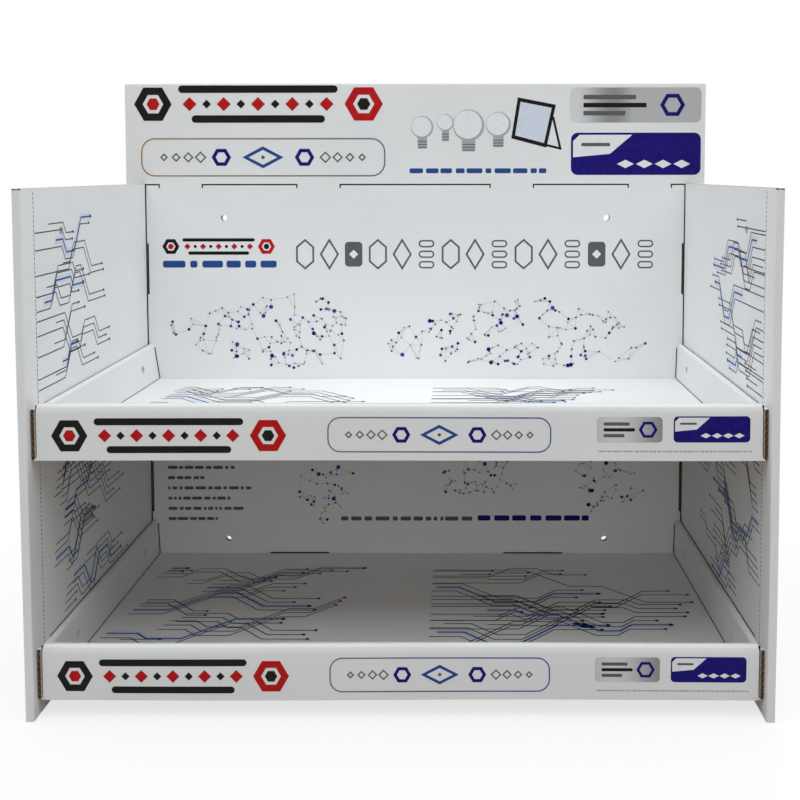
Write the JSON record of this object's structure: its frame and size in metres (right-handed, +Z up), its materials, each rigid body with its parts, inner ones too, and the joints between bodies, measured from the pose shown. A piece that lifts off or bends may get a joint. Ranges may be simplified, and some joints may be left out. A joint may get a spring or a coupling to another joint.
{
  "type": "cardboard display stand",
  "caption": "Open-fronted cardboard shelf display with double-walled sides, a printed back panel under a folded header, and lipped trays hung on tabs.",
  "frame": {"origin": "centre of the footprint, on the surface the stand rests on", "axes": "+X to the right seen from the front, -Y out of the open front, +Z up"},
  "size_m": [0.627, 0.298, 0.535],
  "materials": {
    "white_board": "matt white liner on brown corrugated core",
    "printed_board": "printed white liner on brown corrugated core"
  },
  "bodies": {
    "root": {"body_wrap": "white_board", "header_panel": "printed_board", "lower_tray": "white_board", "upper_tray": "white_board"}
  },
  "joints": []
}
